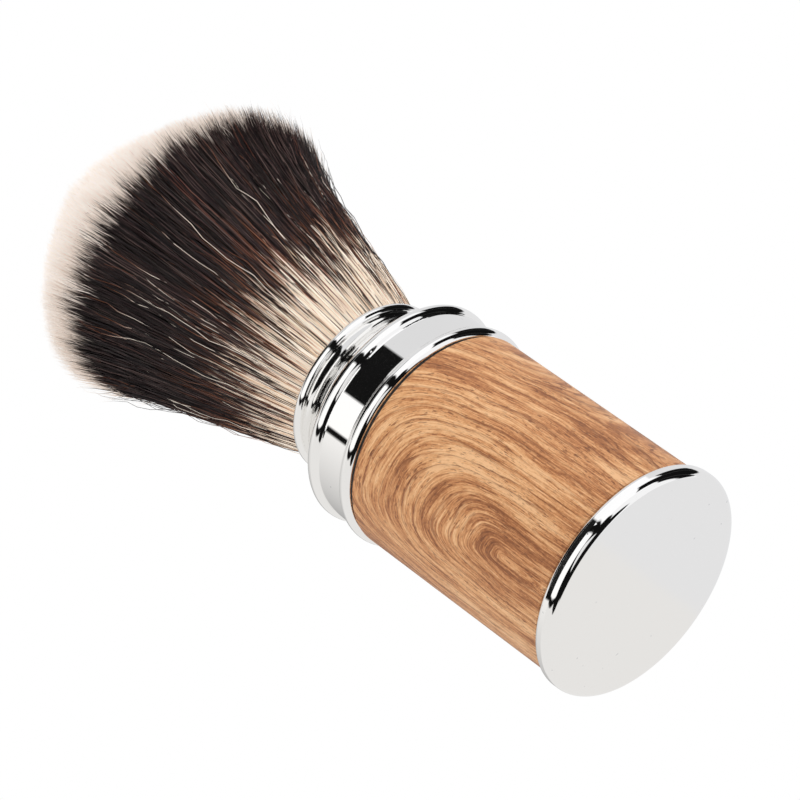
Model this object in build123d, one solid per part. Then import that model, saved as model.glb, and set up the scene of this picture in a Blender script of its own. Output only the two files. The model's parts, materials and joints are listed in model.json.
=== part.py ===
from build123d import *
from math import acos, cos, degrees, hypot, radians, sin, sqrt, tan
import os

# A hair brush with a round handle: a domed, flared knot of hair in a bright turned ferrule and collar,
# a straight wooden grip, and a bright foot that it stands on. Millimetres, +Z up towards the hair.
# The origin is the centre of the flat face that it stands on.

# Grip, and how far the bright fittings at its ends stand out from it
grip_radius = 16.7
grip_length = 36.9
grip_edge = 0.2
rim_overhang = 0.8
bead_overhang = 0.65
lip_overhang = 0.55
band_inset = 0.1

# Foot
foot_edge_radius = 1.2
rim_band = 0.7
rim_top_radius = 0.6

# Seals between the grip and the fittings
seal_thickness = 0.3
seal_recess = 0.25

# Collar
collar_height = 8.9
bead_round = 1.1
lip_round = 1.15
crease_radius = 0.35
socket_depth = 5.9
spigot_wall = 1.7
spigot_floor = 1.8

# Ferrule, by the bore that the hair comes out of
mouth_radius = 11.8
sleeve_wall = 0.8
neck_wall = 0.95
ring_overhang = 0.75
cove_round = 3.7
cove_slope = 40
flange_edge = 0.3

# Tie screw, its washers and the threaded insert
screw_radius = 2.0
head_radius = 3.5
head_height = 2.6
head_gap = 0.5
hex_width = 3.0
hex_depth = 1.6
screw_end_gap = 1.2
washer_radius = 4.5
washer_thickness = 0.8
lock_radius = 3.8
lock_thickness = 0.9
lock_split = 0.6
lock_slant = 30
insert_radius = 3.2
insert_length = 5.5
insert_floor = 0.5
insert_groove = 0.3
insert_bands = 5

# Tube that lines the grip, and the weight in it
tube_wall = 1.0
tube_relief = 0.15
weight_length = 14.0

# Knot: cup, resin and binding cord
cup_wall = 0.9
cup_floor = 1.2
cup_lip = 0.6
resin_floor = 1.2
resin_wall = 1.4
cord_diameter = 0.6
cord_turns = 3
root_web = 1.9

# Free hair
hair_loft = 54.0
tuft_radius = 24.2
dome_height = 14.0
dome_spread = 0.2
dome_edge_inset = 3.0
dome_edge_rise = 6.0
crown_reach = 11.0
waist_swell = 0.4
flare_reach = 4.0
flare_rise = 14.2
shoulder_inset = 1.8
shoulder_rise = 8.5
cut_angle = 6.5
lean_pivot_height = 7.8

# Clearances
thread_clearance = 0.02
seat_clearance = 0.05
knot_clearance = 0.1
slide_clearance = 0.1
washer_hole_clearance = 0.15
washer_room = 0.2
screw_hole_clearance = 0.3
lean_clearance = 0.3

# Radii, each from its neighbours
rim_radius = grip_radius + rim_overhang
bead_radius = grip_radius + bead_overhang
lip_radius = grip_radius + lip_overhang
flange_radius = lip_radius - lip_round
band_radius = grip_radius - band_inset
seal_radius = grip_radius - seal_recess
screw_hole = screw_radius + screw_hole_clearance
washer_hole = screw_radius + washer_hole_clearance
washer_pocket = max(washer_radius, lock_radius, head_radius) + washer_room
spigot_radius = washer_pocket + spigot_wall
tube_bore = spigot_radius + slide_clearance
tube_radius = tube_bore + tube_wall
grip_bore = tube_radius + slide_clearance
sleeve_radius = mouth_radius + sleeve_wall
socket_radius = sleeve_radius + seat_clearance
neck_radius = mouth_radius + neck_wall
cove_end = neck_radius + cove_round * (1 - cos(radians(cove_slope)))
ring_radius = neck_radius + ring_overhang
ring_round = (ring_radius - mouth_radius) / 2
ring_centre = ring_radius - ring_round
cup_radius = mouth_radius - seat_clearance
cup_bore = cup_radius - cup_wall
resin_radius = cup_bore - seat_clearance
resin_bore = resin_radius - resin_wall
root_radius = resin_bore - knot_clearance
knot_radius = mouth_radius - knot_clearance
tuft_waist = knot_radius + waist_swell

# Levels, from the foot up to the ferrule's mouth
foot_top = foot_edge_radius + rim_band + rim_top_radius
insert_bottom = foot_top + insert_floor
foot_spigot_top = insert_bottom + insert_length
grip_bottom = foot_top + seal_thickness
grip_top = grip_bottom + grip_length
collar_bottom = grip_top + seal_thickness
bead_level = collar_bottom + bead_round
collar_top = collar_bottom + collar_height
lip_level = collar_top - lip_round
socket_floor = collar_top - socket_depth
flange_level = collar_top + flange_edge
cove_level = flange_level + (flange_radius - cove_end) / tan(radians(cove_slope))
neck_level = cove_level + cove_round * sin(radians(cove_slope))
ring_level = neck_level + sqrt(ring_round**2 - (neck_radius - ring_centre)**2)
mouth_top = ring_level + ring_round

# Levels of the screw's stack, from the knot cup down
head_top = socket_floor - head_gap
head_level = head_top - head_height
lock_level = head_level - lock_thickness
washer_level = lock_level - washer_thickness
spigot_bottom = washer_level - spigot_floor
screw_end = insert_bottom + screw_end_gap

# The hair leans about a point above the mouth. Its underside is a ball about that point, and it turns
# in a bowl in the bound root.
lean_pivot = mouth_top + lean_pivot_height
bowl_radius = hypot(ring_centre, lean_pivot - ring_level) - ring_round
ball_radius = bowl_radius - lean_clearance
waist_level = lean_pivot - sqrt(ball_radius**2 - tuft_waist**2)
hair_top = mouth_top + hair_loft
shoulder_level = hair_top - dome_height

# Levels in the knot, from the bowl down
root_rim = lean_pivot - sqrt(bowl_radius**2 - knot_radius**2)
cord_top = lean_pivot - sqrt(bowl_radius**2 - root_radius**2) - root_web
cord_bottom = cord_top - cord_turns * cord_diameter
resin_top = cord_bottom - knot_clearance
resin_bottom = socket_floor + cup_floor
recess_floor = resin_bottom + resin_floor
cup_top = cord_top + cup_lip

same_point = 1e-6


def arc(centre_radius, centre_level, round_radius, start, end):
    # Part of a circle in the outline, by its angles from the outward direction. Its ends are rounded to
    # a nanometre, so that an end on the brush's axis lies exactly on it.
    points = []
    for angle in (start, (start + end) / 2, end):
        outward = centre_radius + round_radius * cos(radians(angle))
        upward = centre_level + round_radius * sin(radians(angle))
        points.append((round(outward, 9), round(upward, 9)))
    return ThreePointArc(*points)


def turned(*steps):
    # Joins the points and arcs of an outline with straight lines, and turns it round the brush's axis.
    edges = []
    ends = [(Vector(*s), Vector(*s)) if isinstance(s, tuple) else (s @ 0, s @ 1) for s in steps]
    for step, (_, end), (following, _) in zip(steps, ends, ends[1:] + ends[:1]):
        if not isinstance(step, tuple):
            edges.append(step)
        if (following - end).length > same_point:
            edges.append(Line(end, following))
    return revolve(Plane.XZ * make_face(Curve() + edges), Axis.Z)


def tube(inner, outer, bottom, top):
    return turned((inner, bottom), (outer, bottom), (outer, top), (inner, top))


def circles_at(shape, radius, low, high):
    # The shape's circular edges of one radius, between two levels.
    def matches(edge):
        return abs(edge.radius - radius) < same_point and low < edge.center().Z < high

    return shape.edges().filter_by(GeomType.CIRCLE).filter_by(matches)


def base_cap():
    insert_pocket = insert_radius + seat_clearance
    return turned(
        (0, 0),
        arc(rim_radius - foot_edge_radius, foot_edge_radius, foot_edge_radius, -90, 0),
        arc(rim_radius - rim_top_radius, foot_top - rim_top_radius, rim_top_radius, 0, 90),
        (spigot_radius, foot_top),
        (spigot_radius, foot_spigot_top),
        (insert_pocket, foot_spigot_top),
        (insert_pocket, insert_bottom),
        (0, insert_bottom),
    )


def base_insert():
    # Bands and grooves by turns, which the foot's metal holds.
    bore = screw_radius + thread_clearance
    band_height = insert_length / insert_bands
    steps = []
    for index in range(insert_bands):
        radius = insert_radius - insert_groove * (index % 2)
        steps.append((radius, insert_bottom + index * band_height))
        steps.append((radius, insert_bottom + (index + 1) * band_height))
    return turned((bore, insert_bottom), *steps, (bore, foot_spigot_top))


def grip_sleeve():
    sleeve = tube(grip_bore, grip_radius, grip_bottom, grip_top)
    return chamfer(circles_at(sleeve, grip_radius, grip_bottom - grip_edge, grip_top + grip_edge), grip_edge)


def seal(bottom):
    return tube(grip_bore, seal_radius, bottom, bottom + seal_thickness)


def core_tube():
    return tube(tube_bore, tube_radius, foot_top + tube_relief, collar_bottom - tube_relief)


def balance_weight():
    return tube(screw_hole, spigot_radius, foot_spigot_top, foot_spigot_top + weight_length)


def tie_screw():
    screw = turned(
        (0, screw_end),
        (screw_radius, screw_end),
        (screw_radius, head_level),
        (head_radius, head_level),
        (head_radius, head_top),
        (0, head_top),
    )
    hexagon = RegularPolygon(hex_width / 2, 6, major_radius=False)
    return screw - Pos(0, 0, head_top - hex_depth) * extrude(hexagon, head_height)


def tie_washer():
    return tube(washer_hole, washer_radius, washer_level, lock_level)


def lock_washer():
    # Pressed flat by the screw's head, with the slanted split that lets it spring.
    blank = tube(washer_hole, lock_radius, lock_level, head_level)
    saw = Box(lock_radius * 2, lock_split, lock_radius, align=(Align.MIN, Align.CENTER, Align.CENTER))
    return blank - Pos(0, 0, (lock_level + head_level) / 2) * Rot(lock_slant, 0, 0) * saw


def collar():
    bead_centre = bead_radius - bead_round
    bead_end = degrees(acos((band_radius - bead_centre) / bead_round))
    lip_start = -degrees(acos((band_radius - flange_radius) / lip_round))
    blank = turned(
        (screw_hole, spigot_bottom),
        (spigot_radius, spigot_bottom),
        (spigot_radius, collar_bottom),
        arc(bead_centre, bead_level, bead_round, -90, bead_end),
        arc(flange_radius, lip_level, lip_round, lip_start, 90),
        (socket_radius, collar_top),
        (socket_radius, socket_floor),
        (washer_pocket, socket_floor),
        (washer_pocket, washer_level),
        (screw_hole, washer_level),
    )
    return fillet(circles_at(blank, band_radius, bead_level, lip_level), crease_radius)


def ferrule():
    sleeve_bottom = socket_floor + seat_clearance
    ring_start = -degrees(acos((neck_radius - ring_centre) / ring_round))
    return turned(
        (mouth_radius, sleeve_bottom),
        (sleeve_radius, sleeve_bottom),
        (sleeve_radius, collar_top),
        (flange_radius, collar_top),
        (flange_radius, flange_level),
        arc(neck_radius + cove_round, neck_level, cove_round, 180 + cove_slope, 180),
        arc(ring_centre, ring_level, ring_round, ring_start, 180),
    )


def knot_cup():
    return turned(
        (0, socket_floor),
        (cup_radius, socket_floor),
        (cup_radius, cup_top),
        (cup_bore, cup_top),
        (cup_bore, resin_bottom),
        (0, resin_bottom),
    )


def knot_resin():
    return turned(
        (0, resin_bottom),
        (resin_radius, resin_bottom),
        (resin_radius, resin_top),
        (resin_bore, resin_top),
        (resin_bore, recess_floor),
        (0, recess_floor),
    )


def knot_cord():
    # The turns lie on each other, so together they are one ring with a scalloped outside.
    half = cord_diameter / 2
    inner = root_radius + seat_clearance
    levels = [cord_bottom + half + turn * cord_diameter for turn in range(cord_turns)]
    turns = [arc(inner + half, level, half, -90, 90) for level in levels]
    return turned((inner, cord_bottom), *turns, (inner, cord_top))


def hair_root():
    # The bound end of the hair, with the bowl that the free hair turns in.
    swell = cup_bore - knot_clearance
    body = turned(
        (0, recess_floor + knot_clearance),
        (root_radius, recess_floor + knot_clearance),
        (root_radius, cord_top + knot_clearance),
        (swell, cup_top),
        (knot_radius, cup_top + cup_wall),
        (knot_radius, root_rim),
        (0, root_rim),
    )
    return body - Pos(0, 0, lean_pivot) * Sphere(bowl_radius)


def hair_tuft():
    # The flared bundle, with a ball for its underside. Its domed cut slopes down towards +X.
    waist_angle = -degrees(acos(tuft_waist / ball_radius))
    flank = Bezier(
        (tuft_waist, waist_level),
        (tuft_waist + flare_reach, waist_level + flare_rise),
        (tuft_radius - shoulder_inset, shoulder_level - shoulder_rise),
        (tuft_radius, shoulder_level),
    )
    bundle = turned(
        arc(0, lean_pivot, ball_radius, -90, waist_angle),
        flank,
        (tuft_radius, hair_top + dome_height),
        (0, hair_top + dome_height),
    )
    dome_radius = tuft_radius + dome_spread
    dome = Bezier(
        (dome_radius, 0),
        (dome_radius - dome_edge_inset, dome_edge_rise),
        (crown_reach, dome_height),
        (0, dome_height),
    )
    cut = turned((0, -hair_top), (dome_radius, -hair_top), dome)
    return bundle & Pos(0, 0, shoulder_level) * Rot(0, cut_angle, 0) * cut


pieces = {
    "base_cap": base_cap(),
    "base_insert": base_insert(),
    "base_seal": seal(foot_top),
    "grip_sleeve": grip_sleeve(),
    "core_tube": core_tube(),
    "balance_weight": balance_weight(),
    "tie_screw": tie_screw(),
    "tie_washer": tie_washer(),
    "lock_washer": lock_washer(),
    "collar_seal": seal(grip_top),
    "collar": collar(),
    "ferrule": ferrule(),
    "knot_cup": knot_cup(),
    "knot_resin": knot_resin(),
    "knot_cord": knot_cord(),
    "hair_root": hair_root(),
    "hair_tuft": hair_tuft(),
}

os.makedirs("parts", exist_ok=True)
for name, piece in pieces.items():
    export_step(piece, f"parts/{name}.step")
print(f"mouth {mouth_top:.2f}, lean pivot {lean_pivot:.2f}, ball {ball_radius:.2f}, top {hair_top:.2f}")
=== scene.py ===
import json
from math import cos, radians, sin, tau

import bpy
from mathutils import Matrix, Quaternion, Vector


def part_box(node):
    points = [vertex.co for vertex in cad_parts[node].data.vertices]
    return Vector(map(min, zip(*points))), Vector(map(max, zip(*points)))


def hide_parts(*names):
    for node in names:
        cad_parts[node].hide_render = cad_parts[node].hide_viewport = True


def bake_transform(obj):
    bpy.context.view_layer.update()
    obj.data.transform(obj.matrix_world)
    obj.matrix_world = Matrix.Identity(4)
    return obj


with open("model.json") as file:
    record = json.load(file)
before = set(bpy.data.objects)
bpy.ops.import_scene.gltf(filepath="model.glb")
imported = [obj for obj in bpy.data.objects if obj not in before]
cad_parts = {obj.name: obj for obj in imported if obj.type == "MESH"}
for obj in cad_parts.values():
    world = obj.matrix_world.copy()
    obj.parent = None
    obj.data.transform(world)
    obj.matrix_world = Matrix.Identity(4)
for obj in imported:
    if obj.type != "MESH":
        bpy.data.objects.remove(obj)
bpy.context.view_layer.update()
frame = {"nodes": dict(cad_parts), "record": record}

mm = 0.001
black = (0.0, 0.0, 0.0, 1.0)
white = (1.0, 1.0, 1.0, 1.0)
bpy.context.scene.view_settings.view_transform = "Standard"
print("frame loaded,", len(frame["nodes"]), "nodes")


class Wire:
    # One output in a node tree. Sums on it add Math nodes to that tree.
    def __init__(self, tree, socket=None):
        self.tree = tree
        self.socket = socket

    def node(self, kind, settings=None, values=None, output=0):
        # Any node: its settings first, then the values or links of its sockets.
        made = self.tree.nodes.new(kind)
        for name, value in (settings or {}).items():
            if name == "stops":
                setStops(made.color_ramp, value)
            else:
                setattr(made, name, value)
        for name, value in (values or {}).items():
            if isinstance(value, Wire):
                self.tree.links.new(value.socket, made.inputs[name])
            else:
                made.inputs[name].default_value = value
        return Wire(self.tree, made.outputs[output] if made.outputs else None)

    def math(self, operation, *values):
        return self.node("ShaderNodeMath", {"operation": operation}, dict(enumerate(values)))

    def __add__(self, other):
        return self.math("ADD", self, other)

    def __sub__(self, other):
        return self.math("SUBTRACT", self, other)

    def __rsub__(self, other):
        return self.math("SUBTRACT", other, self)

    def __mul__(self, other):
        return self.math("MULTIPLY", self, other)

    def __truediv__(self, other):
        return self.math("DIVIDE", self, other)

    def __pow__(self, other):
        return self.math("POWER", self, other)

    __radd__ = __add__
    __rmul__ = __mul__

    def limited(self):
        return self.math("MINIMUM", self.math("MAXIMUM", self, 0.0), 1.0)

    def step(self, start, end):
        # 0 before start, 1 after end, straight between them. Start may be the larger.
        return ((self - start) / (end - start)).limited()

    def mixed(self, first, second):
        # This wire, from 0 to 1, leads from the first colour to the second.
        return self.node("ShaderNodeMix", {"data_type": "RGBA"}, {"Factor": self, 6: first, 7: second}, 2)

    def ramp(self, *stops):
        return self.node("ShaderNodeValToRGB", {"stops": stops}, {"Fac": self})

    def part(self, axis):
        return self.node("ShaderNodeSeparateXYZ", None, {"Vector": self}, axis)

    def vector(self, x=0.0, y=0.0, z=0.0):
        return self.node("ShaderNodeCombineXYZ", None, {"X": x, "Y": y, "Z": z})

    def noise(self, vector, scale, detail=2.0, roughness=0.5, output=0):
        values = {"Vector": vector, "Scale": scale, "Detail": detail, "Roughness": roughness}
        return self.node("ShaderNodeTexNoise", None, values, output)


def setStops(ramp, stops):
    while len(ramp.elements) < len(stops):
        ramp.elements.new(1.0)
    for element, (position, color) in zip(ramp.elements, stops):
        element.position = position
        element.color = color


def sRgb(red, green, blue):
    # A colour as it is seen on a screen, 0 to 255, in the linear numbers of a shader.
    parts = [value / 255 for value in (red, green, blue)]
    return [part / 12.92 if part <= 0.04045 else ((part + 0.055) / 1.055) ** 2.4 for part in parts] + [1.0]


def addObject(name, data):
    made = bpy.data.objects.new(name, data)
    bpy.context.scene.collection.objects.link(made)
    return made


def toward(azimuth, elevation):
    # Azimuth 0 is in front, towards -Y, and 90 is at +X.
    direction = Vector((0, -1, 0))
    direction.rotate(Quaternion((-1, 0, 0), radians(elevation)))
    direction.rotate(Quaternion((0, 0, 1), radians(azimuth)))
    return direction


cameraSetup = {
    "lookAt": (1.42 * mm, 0.0, 49.68 * mm),
    "distance": 533.3 * mm,
    "elevation": -35.06,
    "roll": -54.35,
    "lens": 171.0,
    "sensor": 36.0,
    "nearest": 10.0 * mm,
}


def makeCamera(setup):
    data = bpy.data.cameras.new("camera")
    data.lens = setup["lens"]
    data.sensor_width = setup["sensor"]
    data.clip_start = setup["nearest"]
    camera = addObject("camera", data)
    back = toward(0.0, setup["elevation"])
    camera.location = Vector(setup["lookAt"]) + back * setup["distance"]
    camera.rotation_mode = "QUATERNION"
    camera.rotation_quaternion = back.to_track_quat("Z", "Y") @ Quaternion((0, 0, 1), radians(setup["roll"]))
    bpy.context.scene.camera = camera


makeCamera(cameraSetup)
print("camera placed")


darkCard, brightCard = 0.006, 1.1
studio = {
    "backdrop": 1.0,
    "softLight": 0.8,
    "ceiling": 0.84,
    "warmSide": (1.0, 0.99, 0.98, 1.0),
    "coolSide": (0.975, 0.98, 1.0, 1.0),
    "warmToCool": (-60.0, 30.0),
    "soft": (2.5, 2.5),
    # Cards seen by bright metal alone, each over those before it, in degrees. A card that leans shifts
    # in azimuth by that many degrees for each degree of elevation from its upper edge.
    "cards": [
        {"azimuth": (-300, -59), "elevation": (27, 60), "level": 0.95, "soft": (2.5, 10)},
        {"azimuth": (-240, -115), "elevation": (27, 200), "level": 0.4, "soft": (110, 10)},
        {"azimuth": (28, 240), "elevation": (31, 92), "level": 0.78},
        {"azimuth": (-53, 28), "elevation": (40, 84), "level": darkCard},
        {"azimuth": (-53, -15), "elevation": (29, 40), "level": brightCard},
        {"azimuth": (-15, 45), "elevation": (32, 38), "level": darkCard},
        {"azimuth": (-184, 184), "elevation": (-92, -66), "level": darkCard},
        {"azimuth": (-62, 0), "elevation": (-70, -31), "level": darkCard, "lean": 1.2},
        {"azimuth": (0, 31), "elevation": (-92, -31), "level": darkCard, "lean": -0.65},
        {"azimuth": (32, 150), "elevation": (-66, -31), "level": 1.0, "lean": -0.65},
        {"azimuth": (-58.5, -52), "elevation": (-34, 40), "level": darkCard},
        {"azimuth": (-59.5, 24), "elevation": (-34, 33), "level": darkCard},
        {"azimuth": (-52, 12), "elevation": (-30, 29), "level": brightCard},
        {"azimuth": (24, 88), "elevation": (-34, 33), "level": brightCard},
        {"azimuth": (66, 131), "elevation": (-28, 7), "level": darkCard},
        {"azimuth": (92, 131), "elevation": (6, 27), "level": darkCard},
        {"azimuth": (88, 138), "elevation": (-42, -27), "level": darkCard, "lean": -1.0},
    ],
    "lamps": [
        {"name": "keyLamp", "azimuth": 62, "elevation": 30, "distance": 0.9, "size": 0.7, "power": 2.7},
        {"name": "fillLamp", "azimuth": -50, "elevation": 15, "distance": 1.0, "size": 0.8, "power": 1.5},
        {"name": "backLamp", "azimuth": 170, "elevation": 50, "distance": 1.0, "size": 0.8, "power": 2.3},
    ],
}


def between(wire, low, high, soft):
    return wire.step(low - soft / 2, low + soft / 2) * wire.step(high + soft / 2, high - soft / 2)


def cardPattern(azimuth, elevation, values):
    level = values["ceiling"]
    for card in values["cards"]:
        left, right = card["azimuth"]
        low, high = card["elevation"]
        softAcross, softUp = card.get("soft", values["soft"])
        leaning = azimuth - (elevation - high) * card.get("lean", 0.0)
        inside = between(leaning, left, right, softAcross) * between(elevation, low, high, softUp)
        level = level + inside * (card["level"] - level)
    return level


def makeWorld(values):
    # The camera sees the backdrop, bright metal sees the cards, and all else is lit by the soft light.
    world = bpy.data.worlds.new("studio")
    world.use_nodes = True
    world.node_tree.nodes.clear()
    start = Wire(world.node_tree)
    direction = start.node("ShaderNodeTexCoord", output="Generated")
    x, y, z = (direction.part(axis) for axis in range(3))
    azimuth = x.math("ARCTAN2", x, 0.0 - y) * (360 / tau)
    elevation = z.math("ARCSINE", z) * (360 / tau)
    pattern = cardPattern(azimuth, elevation, values)
    tint = azimuth.step(*values["warmToCool"]).mixed(values["warmSide"], values["coolSide"])
    backdrop = start.node("ShaderNodeBackground", None, {"Color": white, "Strength": values["backdrop"]})
    soft = start.node("ShaderNodeBackground", None, {"Color": white, "Strength": values["softLight"]})
    metal = start.node("ShaderNodeBackground", None, {"Color": tint, "Strength": pattern})
    isCamera = start.node("ShaderNodeLightPath", output="Is Camera Ray")
    isGlossy = start.node("ShaderNodeLightPath", output="Is Glossy Ray")
    seen = start.node("ShaderNodeMixShader", None, {0: isGlossy, 1: soft, 2: metal})
    seen = start.node("ShaderNodeMixShader", None, {0: isCamera, 1: seen, 2: backdrop})
    start.node("ShaderNodeOutputWorld", None, {"Surface": seen})
    bpy.context.scene.world = world


def makeLamp(lamp, lookAt):
    data = bpy.data.lights.new(lamp["name"], "AREA")
    data.shape = "DISK"
    data.size = lamp["size"]
    data.energy = lamp["power"]
    made = addObject(lamp["name"], data)
    direction = toward(lamp["azimuth"], lamp["elevation"])
    made.location = Vector(lookAt) + direction * lamp["distance"]
    made.rotation_mode = "QUATERNION"
    made.rotation_quaternion = direction.to_track_quat("Z", "Y")
    made.visible_glossy = False


floorSetup = {
    "color": (0.88, 0.88, 0.88, 1.0),
    "holeInset": 0.6 * mm,
    "reach": 3.0,
    "sides": 96,
}


def paintFloor(material, color):
    # Seen from above only. Rays from below and reflections go through it.
    material.use_nodes = True
    material.node_tree.nodes.clear()
    start = Wire(material.node_tree)
    diffuse = start.node("ShaderNodeBsdfDiffuse", None, {"Color": color})
    clear = start.node("ShaderNodeBsdfTransparent")
    below = start.node("ShaderNodeNewGeometry", output="Backfacing")
    reflected = start.node("ShaderNodeLightPath", output="Is Glossy Ray")
    hidden = below.math("MAXIMUM", below, reflected)
    shown = start.node("ShaderNodeMixShader", None, {0: hidden, 1: diffuse, 2: clear})
    start.node("ShaderNodeOutputMaterial", None, {"Surface": shown})


def makeFloor(setup, footRadius):
    # A wide ring whose hole lies under the foot's edge, so that nothing touches the foot's face.
    sides = setup["sides"]
    corners = [toward(360 * index / sides, 0.0) for index in range(sides)]
    inner = [corner * (footRadius - setup["holeInset"]) for corner in corners]
    outer = [corner * setup["reach"] for corner in corners]
    following = [(index + 1) % sides for index in range(sides)]
    faces = [(index, index + sides, after + sides, after) for index, after in enumerate(following)]
    mesh = bpy.data.meshes.new("floor")
    mesh.from_pydata(inner + outer, [], faces)
    material = bpy.data.materials.new("paleFloor")
    paintFloor(material, setup["color"])
    mesh.materials.append(material)
    floor = addObject("floor", mesh)


makeWorld(studio)
for lamp in studio["lamps"]:
    makeLamp(lamp, cameraSetup["lookAt"])
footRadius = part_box("base_cap")[1].x
makeFloor(floorSetup, footRadius)
print("studio made")


def makeMaterial(name, paint, **settings):
    # A Principled material. Paint gets a wire to build on and gives the sockets that vary.
    material = bpy.data.materials.new(name)
    material.use_nodes = True
    tree = material.node_tree
    shader = tree.nodes["Principled BSDF"]
    for socket, value in settings.items():
        shader.inputs[socket.replace("_", " ")].default_value = value
    for socket, wire in paint(Wire(tree)).items():
        tree.links.new(wire.socket, shader.inputs[socket])
    return material


def position(start):
    return start.node("ShaderNodeTexCoord", output="Object")


def bumped(start, height, distance, strength):
    return start.node("ShaderNodeBump", None, {"Height": height, "Distance": distance, "Strength": strength})


chrome = {
    "color": sRgb(247, 246, 244),
    "roughness": 0.03,
    "haze": 0.02,
    "hazeScale": 60.0,
    # small specks where the plating is dull
    "speckColor": sRgb(196, 197, 200),
    "speckScale": 900.0,
    "speckFrom": (0.76, 0.8),
    "speckAmount": 0.5,
    "speckRoughness": 0.12,
}


def paintChrome(start):
    place = position(start)
    haze = start.noise(place, chrome["hazeScale"], 3.0)
    specks = start.noise(place, chrome["speckScale"], 1.0).step(*chrome["speckFrom"])
    color = (specks * chrome["speckAmount"]).mixed(chrome["color"], chrome["speckColor"])
    roughness = chrome["roughness"] + haze * chrome["haze"] + specks * chrome["speckRoughness"]
    return {"Base Color": color, "Roughness": roughness}


wood = {
    "faceTurn": radians(-27.0),
    "heartLevel": 10.5 * mm,
    "belowHeart": 0.12,
    "squeeze": 2.4,
    "lift": 0.12,
    "depth": 0.5,
    "ringWidth": 1.0 * mm,
    "warp": 2.6 * mm,
    "warpScale": 38.0,
    # noise drawn out along the rings: how many lines in a ring, how long each is, detail and roughness
    "broad": (0.16, 36.0 * mm, 2.0, 0.5),
    "streaks": (0.7, 9.0 * mm, 5.0, 0.65),
    "fine": (3.0, 3.6 * mm, 3.0, 0.7),
    "pores": (3.6, 1.0 * mm, 1.0, 0.5),
    # how much each changes the tone
    "broadTone": 0.85,
    "streakTone": 0.75,
    "fineTone": 0.9,
    "toneShift": -0.75,
    "grainTone": 0.5,
    "grainScale": 2600.0,
    # painted sheen: how far out, and by how much, the sides of the grip are painted paler
    "sheenSides": 14.0 * mm,
    "sheenTone": 0.14,
    "tones": (
        (0.0, sRgb(142, 84, 44)),
        (0.25, sRgb(176, 114, 66)),
        (0.5, sRgb(203, 142, 91)),
        (0.75, sRgb(218, 162, 110)),
        (1.0, sRgb(234, 185, 136)),
    ),
    # thin lines of late wood, each as sharp as this power, that fade where the streaks are pale
    "late": sRgb(122, 68, 34),
    "lateCount": 0.42,
    "lateWander": 3.0,
    "lateSharp": 8.0,
    "lateFade": (0.62, 0.42),
    "pore": sRgb(118, 68, 36),
    "poreFrom": (0.58, 0.66),
    "poreAmount": 0.85,
    "roughness": 0.4,
    "grainRoughness": 0.18,
    "bump": 0.04 * mm,
}


def paintWood(start):
    # Growth rings as nested arches, blunt at the top and open towards the foot, round a heart low on the
    # face that looks to the front.
    place = position(start)
    turned = start.node("ShaderNodeVectorRotate", {"rotation_type": "Z_AXIS"},
                        {"Vector": place, "Angle": -wood["faceTurn"]})
    drift = start.noise(place, wood["warpScale"], 2.0, 0.5, "Color")
    across = turned.part(0) + (drift.part(0) - 0.5) * wood["warp"]
    deep = turned.part(1)
    along = turned.part(2) - wood["heartLevel"] + (drift.part(1) - 0.5) * (3 * wood["warp"])
    along = along.math("MAXIMUM", along, along * wood["belowHeart"])
    wide = across * wood["squeeze"]
    far = (wide * wide * wide * wide + along * along * along * along) ** 0.25
    rings = (far + along * wood["lift"] + deep * wood["depth"]) / wood["ringWidth"]

    def lines(count, length, detail, roughness):
        spread = start.vector(rings * count, across / length, turned.part(2) / length)
        return start.noise(spread, 1.0, detail, roughness)

    broad, streaks, fine, pores = (lines(*wood[name]) for name in ("broad", "streaks", "fine", "pores"))
    grain = start.noise(place, wood["grainScale"], 2.0, 0.6)
    tone = broad * wood["broadTone"] + streaks * wood["streakTone"] + fine * wood["fineTone"]
    tone = (tone + wood["toneShift"]).step(0.3, 0.7) + (grain - 0.5) * wood["grainTone"]
    # painted sheen: the tone is lifted towards the sides, away from the face that looks to the front
    tone = tone + (across * across).step(0.0, wood["sheenSides"] ** 2) * wood["sheenTone"]
    color = tone.ramp(*wood["tones"])
    fade = streaks.step(*wood["lateFade"])
    late = rings * wood["lateCount"] + broad * wood["lateWander"]
    late = late.math("FRACT", late) ** wood["lateSharp"]
    color = (late * (0.25 + 0.75 * fade)).mixed(color, wood["late"])
    dash = pores.step(*wood["poreFrom"]) * (0.2 + 0.8 * fade)
    color = (dash * wood["poreAmount"]).mixed(color, wood["pore"])
    height = 1 - dash + fine * 0.4 + grain * 0.3
    roughness = wood["roughness"] + grain * wood["grainRoughness"]
    return {"Base Color": color, "Roughness": roughness, "Normal": bumped(start, height, wood["bump"], 0.6)}


turnedMetals = {
    "brass": {"name": "turnedBrass", "light": sRgb(214, 180, 104), "dark": sRgb(178, 140, 70),
              "roughness": 0.22, "pitch": 0.25 * mm},
    "steel": {"name": "turnedSteel", "light": sRgb(196, 198, 202), "dark": sRgb(160, 162, 168),
              "roughness": 0.25, "pitch": 0.2 * mm},
}


def paintTurned(metal):
    # Turned metal: fine rings left by the tool, and faint clouds.
    def paint(start):
        place = position(start)
        rings = start.noise(start.vector(0.0, 0.0, place.part(2) / metal["pitch"]), 1.0, 2.0)
        clouds = start.noise(place, 180.0, 3.0)
        return {
            "Base Color": clouds.step(0.35, 0.7).mixed(metal["dark"], metal["light"]),
            "Roughness": metal["roughness"] + rings * 0.2,
            "Normal": bumped(start, rings, 0.02 * mm, 0.4),
        }

    return paint


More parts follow.
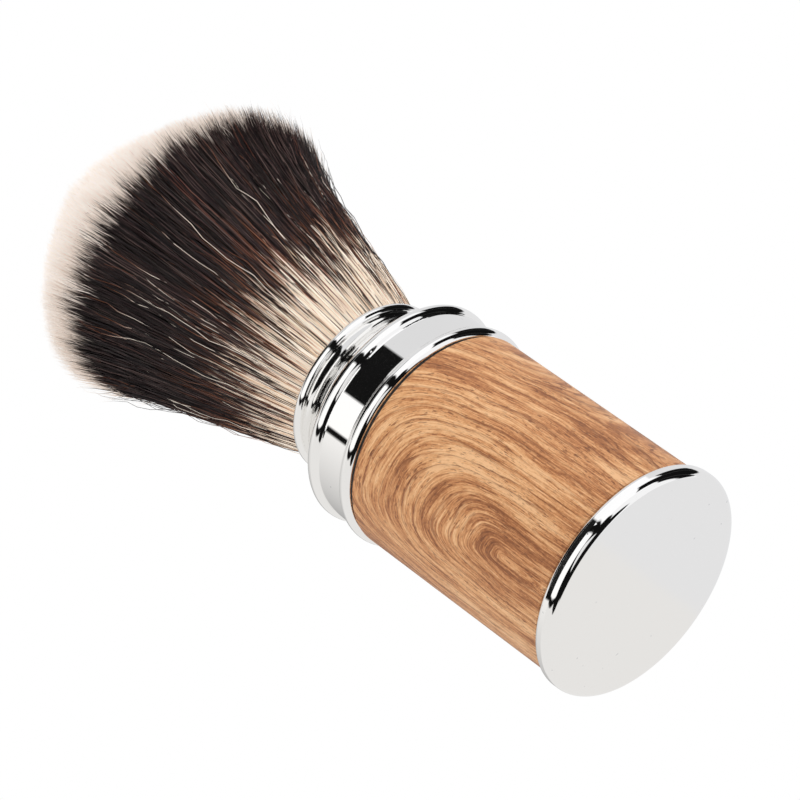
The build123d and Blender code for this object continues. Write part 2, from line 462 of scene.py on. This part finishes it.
mottledMatter = {
    "seal_rubber": {"name": "sealRubber", "light": sRgb(46, 44, 42), "dark": sRgb(28, 26, 25),
                    "scale": 300.0, "roughness": 0.6, "grain": 0.02 * mm},
    "cup_nylon": {"name": "cupNylon", "light": sRgb(232, 228, 214), "dark": sRgb(214, 208, 190),
                  "scale": 200.0, "roughness": 0.42, "grain": 0.01 * mm},
    "knot_resin": {"name": "knotResin", "light": sRgb(206, 158, 84), "dark": sRgb(158, 108, 48),
                   "scale": 220.0, "roughness": 0.15, "grain": 0.004 * mm},
    "binding_cord": {"name": "waxedCord", "light": sRgb(232, 222, 196), "dark": sRgb(188, 174, 142),
                     "scale": 500.0, "roughness": 0.6, "grain": 0.05 * mm},
    "hair": {"name": "rootHair", "light": sRgb(226, 206, 178), "dark": sRgb(120, 92, 70),
             "scale": 700.0, "roughness": 0.5, "grain": 0.1 * mm},
}


def paintMottled(matter):
    # Moulded, cast or wound matter: soft mottling and a fine grain.
    def paint(start):
        place = position(start)
        mottle = start.noise(place, matter["scale"], 3.0)
        fine = start.noise(place, matter["scale"] * 12.0, 2.0)
        return {
            "Base Color": mottle.step(0.3, 0.7).mixed(matter["dark"], matter["light"]),
            "Roughness": matter["roughness"] + fine * 0.15,
            "Normal": bumped(start, fine, matter["grain"], 0.5),
        }

    return paint


finishes = {
    "chrome": makeMaterial("polishedChrome", paintChrome, Metallic=1.0),
    "grip_wood": makeMaterial("satinWood", paintWood, Specular_IOR_Level=0.5),
}
for slot, metal in turnedMetals.items():
    finishes[slot] = makeMaterial(metal["name"], paintTurned(metal), Metallic=1.0)
for slot, matter in mottledMatter.items():
    finishes[slot] = makeMaterial(matter["name"], paintMottled(matter))
for part in frame["record"]["subparts"]:
    materials = frame["nodes"][part["node"]].data.materials
    materials.clear()
    materials.append(finishes[part["material_slot"]])
print("finishes made")


hair = {
    # The colourings stand side by side in the map's u, and its v runs from root to tip. Those before
    # darkUntil are dark from the root on, and those after paleFrom stay pale nearly to the tip.
    "colorings": 256,
    "darkUntil": 0.04,
    "paleFrom": 0.985,
    "paleReach": 0.6,
    "rootEnd": 0.27,
    "rootSpread": 0.31,
    "rootEdge": 0.02,
    "tipStart": 0.88,
    "tipSpread": 0.06,
    "tipEdge": (-0.012, 0.03),
    "black": sRgb(18, 5, 9),
    "brownBlack": sRgb(28, 12, 15),
    "brown": sRgb(52, 30, 31),
    "greyBrown": sRgb(108, 86, 82),
    "redBrown": sRgb(108, 62, 50),
    "fawn": sRgb(200, 172, 150),
    "cream": sRgb(240, 220, 197),
    "paleCream": sRgb(253, 243, 230),
    "sand": sRgb(228, 199, 168),
    "tipLow": sRgb(214, 197, 183),
    "tipEnd": sRgb(249, 242, 236),
    # where cream turns dark, some colourings are russet for a stretch
    "russet": sRgb(158, 96, 66),
    "russetAmount": 0.8,
    "russetFrom": (0.45, 0.8),
    "russetStart": (-0.08, -0.02),
    "russetStop": (0.2, 0.03),
    # faint paler and duller stretches along each hair
    "waveScale": (3.7, 6.0),
    "waveFrom": (0.45, 0.85),
    "waveAmount": 0.06,
    "waveRoughness": 0.15,
    "roughness": 0.34,
    "specular": 0.42,
    "glow": 0.2,
}


def paintHair(start):
    # Along each hair: cream at the root, brown-black in the middle, pale at the tip.
    hairMap = start.node("ShaderNodeUVMap", {"uv_map": "OFBake"})
    across, along = hairMap.part(0), hairMap.part(1)
    kind = across.math("FLOOR", across * hair["colorings"])
    order = kind / hair["colorings"]

    def chance(salt):
        return start.node("ShaderNodeTexWhiteNoise", {"noise_dimensions": "2D"},
                          {"Vector": start.vector(kind, salt, 0.0)})

    rootEnd = hair["rootEnd"] + (chance(1.5) - 0.5) * hair["rootSpread"]
    rootEnd = rootEnd - order.step(hair["darkUntil"] + 0.001, hair["darkUntil"])
    stayPale = order.step(hair["paleFrom"] - 0.001, hair["paleFrom"])
    rootEnd = rootEnd + stayPale * (0.4 + 0.6 * chance(9.5)) * hair["paleReach"]
    tipStart = hair["tipStart"] + (chance(4.5) - 0.5) * hair["tipSpread"]
    root = along.step(rootEnd + hair["rootEdge"], rootEnd - hair["rootEdge"])
    tip = along.step(*(tipStart + edge for edge in hair["tipEdge"]))
    dark = chance(5.5).ramp((0.0, hair["black"]), (0.5, hair["brownBlack"]), (0.78, hair["brown"]),
                            (0.92, hair["greyBrown"]), (0.97, hair["brown"]), (1.0, hair["redBrown"]))
    cream = chance(6.5).ramp((0.0, hair["cream"]), (0.6, hair["paleCream"]), (0.88, hair["sand"]),
                             (1.0, hair["fawn"]))
    color = root.mixed(dark, cream)
    turning = along.step(*(rootEnd + edge for edge in hair["russetStart"]))
    turning = turning * along.step(*(rootEnd + edge for edge in hair["russetStop"]))
    color = (turning * order.step(*hair["russetFrom"]) * hair["russetAmount"]).mixed(color, hair["russet"])
    tipColor = (along.step(tipStart, 1.0) * 0.8 + chance(8.5) * 0.3).limited()
    color = tip.mixed(color, tipColor.mixed(hair["tipLow"], hair["tipEnd"]))
    scaleAcross, scaleAlong = hair["waveScale"]
    wave = start.noise(start.vector(kind * scaleAcross, along * scaleAlong, 0.0), 1.0, 2.0)
    color = (wave.step(*hair["waveFrom"]) * hair["waveAmount"]).mixed(color, hair["cream"])
    # pale hair lets light through, for which a faint glow stands in
    glow = root.math("MAXIMUM", root, tip).mixed(black, color)
    roughness = hair["roughness"] + wave * hair["waveRoughness"]
    return {"Base Color": color, "Roughness": roughness, "Emission Color": glow}


hairMaterial = makeMaterial("twoBandHair", paintHair, Specular_IOR_Level=hair["specular"],
                            Emission_Strength=hair["glow"])


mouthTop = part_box("ferrule")[1].z
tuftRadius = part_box("hair_tuft")[1].y
knot = {
    "rootLevel": mouthTop - 3.0 * mm,
    "rootRadius": 11.0 * mm,
    # two handles between root and tip: the radius of each, and its share of the rise
    "waistHandle": (15.6 * mm, 0.29),
    "flareHandle": (tuftRadius - 3.5 * mm, 0.77),
    "tuftRadius": tuftRadius + 0.1 * mm,
    "rim": 1.0 * mm,
    "shoulderLevel": mouthTop + 40.2 * mm,
    "domeHeight": 20.2 * mm,
    "domePower": 1.93,
    "domeFlat": 0.86,
    # The cut slopes down towards +X, and the whole knot stands a little towards it. On that side the
    # flank is straighter, its corner sharper, and the hairs stay dark for longer.
    "cutSlope": 0.15,
    "stoop": 0.03,
    "pinch": 0.07,
    "plusRim": 0.8 * mm,
    "plusRise": 1.1 * mm,
    "plusHollow": 2.2 * mm,
    "darkCorner": 0.095,
    # on the other side the corner is lower, and the hairs turn dark sooner
    "minusDrop": 0.9 * mm,
    "darkFlank": 0.11,
    # how much shorter the shortest hairs are, and where a hair starts to taper
    "shortest": 5.0 * mm,
    "taperFrom": 0.82,
    # clumps of hairs lean together by up to their size, and small bunches within them too
    "clump": 1.0 * mm,
    "clumpScale": 320.0,
    "clumpTwist": 2.5,
    "bunch": 0.5 * mm,
    "bunchScale": 1100.0,
    "bunchTwist": 3.0,
    # by itself each hair leans out or round by up to the splay, and waves
    "splay": 0.5 * mm,
    "wave": 1.6 * mm,
    "waves": 6.0,
    "phases": 400.0,
    # hairs of like colour stand together in rings, along a straight course through noise
    "kindRings": 0.35,
    "kindScale": 300.0,
    "kindCourse": 0.5,
    "kindEdges": (0.35, 0.65),
    # and the colours change sooner or later in patches
    "rootPatches": 5.0,
    "rootShift": 0.4,
    "tipShift": 0.2,
}
# each lock: how many hairs, how many segments in each, the share of the radius that it fills, and what
# sets it apart from a plain lock
locks = [
    {"name": f"outerHair{index + 1}", "count": 2450, "segments": 12, "inside": 0.85, "outside": 1.0,
     "sector": (index / 6, 1 / 6), "seed": 11 + index, "radius": 0.078 * mm}
    for index in range(6)
] + [
    {"name": f"crownHair{index + 1}", "count": 7000, "segments": 4, "inside": 0.0, "outside": 0.9,
     "sector": (index / 3, 1 / 3), "seed": 31 + index, "start": 0.66, "radius": 0.08 * mm}
    for index in range(3)
] + [
    {"name": "innerHair", "count": 6000, "segments": 5, "inside": 0.0, "outside": 0.87, "seed": 41,
     "radius": 0.2 * mm, "tipShare": 0.4, "shorter": 1.0 * mm},
    {"name": "darkStrands", "count": 170, "segments": 20, "inside": 0.985, "outside": 1.01, "seed": 51,
     "radius": 0.055 * mm, "loose": 2.2, "kinds": (0.0, 0.035)},
    {"name": "paleStrands", "count": 180, "segments": 20, "inside": 0.985, "outside": 1.01, "seed": 52,
     "radius": 0.038 * mm, "loose": 2.4, "kinds": (hair["paleFrom"], 1.0)},
]
plainLock = {"sector": (0.0, 1.0), "kinds": (0.0, hair["paleFrom"]), "start": 0.0, "tipShare": 0.12,
             "shorter": 0.0, "loose": 1.0}
lockInputs = {
    "Count": "NodeSocketInt",
    "Segments": "NodeSocketInt",
    "Inside": "NodeSocketFloat",
    "Outside": "NodeSocketFloat",
    "Sector Start": "NodeSocketFloat",
    "Sector Width": "NodeSocketFloat",
    "First Kind": "NodeSocketFloat",
    "Last Kind": "NodeSocketFloat",
    "Seed": "NodeSocketInt",
    "Start": "NodeSocketFloat",
    "Radius": "NodeSocketFloat",
    "Tip Share": "NodeSocketFloat",
    "Shorter": "NodeSocketFloat",
    "Loose": "NodeSocketFloat",
    "Material": "NodeSocketMaterial",
}


def store(geometry, name, wire, domain="POINT", kind="FLOAT"):
    # Keeps a value on each point, for later nodes to read back.
    return geometry.node("GeometryNodeStoreNamedAttribute", {"domain": domain, "data_type": kind},
                         {"Geometry": geometry, "Name": name, "Value": wire})


def stored(start, name):
    return start.node("GeometryNodeInputNamedAttribute", {"data_type": "FLOAT"}, {"Name": name})


def sowHairs(start, given, values):
    # One point for each hair, with what is its own, and on each a line from 0 at the root to 1 at the tip.
    def chance(salt, low=0.0, high=1.0):
        return start.node("FunctionNodeRandomValue", None,
                          {"Min": low, "Max": high, "Seed": given["Seed"] * 16 + salt}, 1)

    inner, outer = given["Inside"], given["Outside"]
    share = (inner * inner + chance(1) * (outer * outer - inner * inner)) ** 0.5
    turn = (given["Sector Start"] + chance(2) * given["Sector Width"]) * tau
    spread = values["kindScale"] * values["tuftRadius"]
    course = values["kindCourse"]
    place = start.vector(share * cos(course) * spread, share * sin(course) * spread, 7.0)
    ring = start.noise(place, 1.0, 2.0).step(*values["kindEdges"])
    kind = chance(3) * (1 - values["kindRings"]) + ring * values["kindRings"]
    kind = given["First Kind"] + kind * (given["Last Kind"] - given["First Kind"])
    own = {"share": share, "turn": turn, "kind": kind, "cut": chance(4), "phase": chance(5),
           "leanOut": chance(6, -1.0, 1.0), "leanRound": chance(7, -1.0, 1.0)}
    hairs = start.node("GeometryNodePoints", None, {"Count": given["Count"]})
    for name, wire in own.items():
        hairs = store(hairs, name, wire)
    line = start.node("GeometryNodeCurvePrimitiveLine")
    line = start.node("GeometryNodeResampleCurve", None, {"Curve": line, "Count": given["Segments"] + 1})
    hairs = start.node("GeometryNodeInstanceOnPoints", None, {"Points": hairs, "Instance": line})
    hairs = start.node("GeometryNodeRealizeInstances", None, {"Geometry": hairs})
    along = start.node("GeometryNodeSplineParameter")
    return store(hairs, "along", given["Start"] + along * (1 - given["Start"]))


def readHairs(start, values):
    # What each point of a hair knows, and what the form and the colours both follow.
    at = {name: stored(start, name) for name in ("along", "share", "turn")}
    at["cosine"] = at["turn"].math("COSINE", at["turn"])
    at["sine"] = at["turn"].math("SINE", at["turn"])
    at["plusSide"] = at["cosine"].math("MAXIMUM", at["cosine"], 0.0)
    at["minusSide"] = at["cosine"].math("MINIMUM", at["cosine"], 0.0)
    at["tipX"] = at["share"] * at["cosine"] * values["tuftRadius"]
    at["tipY"] = at["share"] * at["sine"] * values["tuftRadius"]
    return at


def nearby(start, at, scale, depth):
    # Noise that neighbouring hairs share.
    return start.noise(start.vector(at["tipX"] * scale, at["tipY"] * scale, depth), 1.0, 2.0, 0.55, "Color")


def hairTop(start, given, at, values):
    # The level of a hair's tip: a flattened dome, cut at a slant, with some hairs shorter than others.
    share, plusSide, minusSide = at["share"], at["plusSide"], at["minusSide"]
    dome = share.math("SMOOTH_MIN", 1 - share ** values["domePower"], values["domeFlat"], 0.1)
    top = values["shoulderLevel"] + dome * values["domeHeight"]
    top = top - share * at["cosine"] * (values["cutSlope"] * values["tuftRadius"])
    top = top - share ** 4.0 * (minusSide * minusSide * values["minusDrop"] - plusSide * values["plusRise"])
    # share squared times what it leaves of 1 is at most a quarter
    top = top - plusSide * share * share * (1 - share * share) * (4 * values["plusHollow"])
    return top - stored(start, "cut") ** 3.0 * (1.3 - share) * values["shortest"] - given["Shorter"]


def bendHairs(start, hairs, given, at, values):
    # The path of a hair is a curve between four handles that its share of the radius sets. Neighbours
    # lean together into clumps, and each hair leans and waves by itself.
    along, share, plusSide = at["along"], at["share"], at["plusSide"]
    left = 1 - along
    weights = [left * left * left, left * left * along * 3, left * along * along * 3, along * along * along]
    waistRadius, waistRise = values["waistHandle"]
    flareRadius, flareRise = values["flareHandle"]
    rise = hairTop(start, given, at, values) - values["rootLevel"]
    upward = rise * (weights[1] * waistRise + weights[2] * flareRise + weights[3])
    outward = share * (weights[0] * values["rootRadius"] + weights[1] * waistRadius
                       + weights[2] * flareRadius + weights[3] * values["tuftRadius"])
    # along squared times what along leaves of 1 is at most 4 / 27
    outward = outward * (1 - plusSide * along * along * left * (27 / 4 * values["pinch"]))
    outward = outward + share ** 4.0 * along ** 6.0 * (values["rim"] - plusSide * values["plusRim"])

    clump = nearby(start, at, values["clumpScale"], along * values["clumpTwist"])
    bunch = nearby(start, at, values["bunchScale"], along * values["bunchTwist"])
    phase = start.vector(stored(start, "phase") * values["phases"], along * values["waves"], 0.0)
    swing = start.noise(phase, 1.0, 1.0, 0.5, "Color")
    free = along * along
    loose = given["Loose"]
    offsets = []
    for axis in range(3):
        together = (clump.part(axis) - 0.5) * (2 * values["clump"]) * free
        together = together + (bunch.part(axis) - 0.5) * (2 * values["bunch"]) * free
        alone = (swing.part(axis) - 0.5) * values["wave"] * along * (2 - along) * loose
        offsets.append(together + alone)
    leanOut = outward + stored(start, "leanOut") * values["splay"] * free * loose
    leanRound = stored(start, "leanRound") * values["splay"] * free * loose
    x = leanOut * at["cosine"] - leanRound * at["sine"] + offsets[0] + upward * values["stoop"]
    y = leanOut * at["sine"] + leanRound * at["cosine"] + offsets[1]
    z = values["rootLevel"] + upward + offsets[2] * 0.5
    return start.node("GeometryNodeSetPosition", None, {"Geometry": hairs, "Position": start.vector(x, y, z)})


def thickenHairs(start, hairs, given, at, values):
    # Each hair is a thin three-sided rod that tapers to its tip.
    rod = start.node("GeometryNodeCurvePrimitiveCircle", None, {"Resolution": 3, "Radius": given["Radius"]})
    taper = 1 - (1 - given["Tip Share"]) * at["along"].step(values["taperFrom"], 1.0)
    hairs = start.node("GeometryNodeCurveToMesh", None,
                       {"Curve": hairs, "Profile Curve": rod, "Scale": taper, "Fill Caps": True})
    side = start.node("GeometryNodeInputIndex")
    return store(hairs, "side", side.math("MODULO", side, 3.0))


def mapHairs(start, hairs, at, values):
    # The colours change sooner or later where neighbouring hairs do so together. The three sides of a
    # hair lie beside each other in the column of its colouring.
    along, share = at["along"], at["share"]
    patch = nearby(start, at, values["rootPatches"] / values["tuftRadius"], 0.0).part(0) - 0.5
    tuft = nearby(start, at, values["bunchScale"], 0.0).part(1) - 0.5
    shift = patch * values["rootShift"] * (1 - along) + tuft * values["tipShift"] * along
    shift = shift - at["plusSide"] * share ** 3.0 * along * values["darkCorner"]
    shift = shift + at["minusSide"] * at["minusSide"] * share * share * (1 - along) * values["darkFlank"]
    hairs = store(hairs, "shade", (along + shift).limited())
    kind = stored(start, "kind")
    column = kind.math("FLOOR", kind * hair["colorings"]) + 0.2 + stored(start, "side") * 0.3
    place = start.vector(column / hair["colorings"], stored(start, "shade"), 0.0)
    return store(hairs, "OFBake", place, "CORNER", "FLOAT2")


def makeHairTree(values):
    tree = bpy.data.node_groups.new("hairTree", "GeometryNodeTree")
    for name, kind in lockInputs.items():
        tree.interface.new_socket(name, in_out="INPUT", socket_type=kind)
    tree.interface.new_socket("Hair", in_out="OUTPUT", socket_type="NodeSocketGeometry")
    start = Wire(tree)
    given = {name: start.node("NodeGroupInput", output=name) for name in lockInputs}
    at = readHairs(start, values)
    hairs = sowHairs(start, given, values)
    hairs = bendHairs(start, hairs, given, at, values)
    hairs = thickenHairs(start, hairs, given, at, values)
    hairs = mapHairs(start, hairs, at, values)
    hairs = start.node("GeometryNodeRealizeInstances", None, {"Geometry": hairs})
    hairs = start.node("GeometryNodeSetMaterial", None, {"Geometry": hairs, "Material": given["Material"]})
    start.node("NodeGroupOutput", None, {"Hair": hairs})
    return tree


def growLock(tree, lock):
    grower = addObject("grower", bpy.data.meshes.new("grower"))
    modifier = grower.modifiers.new("hair", "NODES")
    modifier.node_group = tree
    chosen = {
        "Count": lock["count"],
        "Segments": lock["segments"],
        "Inside": lock["inside"],
        "Outside": lock["outside"],
        "Sector Start": lock["sector"][0],
        "Sector Width": lock["sector"][1],
        "First Kind": lock["kinds"][0],
        "Last Kind": lock["kinds"][1],
        "Seed": lock["seed"],
        "Start": lock["start"],
        "Radius": lock["radius"],
        "Tip Share": lock["tipShare"],
        "Shorter": lock["shorter"],
        "Loose": lock["loose"],
        "Material": hairMaterial,
    }
    for item in tree.interface.items_tree:
        if item.name in chosen:
            modifier[item.identifier] = chosen[item.name]
    evaluated = grower.evaluated_get(bpy.context.evaluated_depsgraph_get())
    mesh = bpy.data.meshes.new_from_object(evaluated)
    bpy.data.objects.remove(grower)
    # only the map is needed from here on
    for name in ("share", "turn", "kind", "cut", "phase", "leanOut", "leanRound", "along", "side", "shade"):
        if name in mesh.attributes:
            mesh.attributes.remove(mesh.attributes[name])
    mesh.name = lock["name"]
    mesh.shade_smooth()
    piece = addObject(lock["name"], mesh)
    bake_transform(piece)
    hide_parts("hair_tuft")
    print(lock["name"], len(mesh.polygons), "faces")


hairTree = makeHairTree(knot)
for lock in locks:
    growLock(hairTree, {**plainLock, **lock})
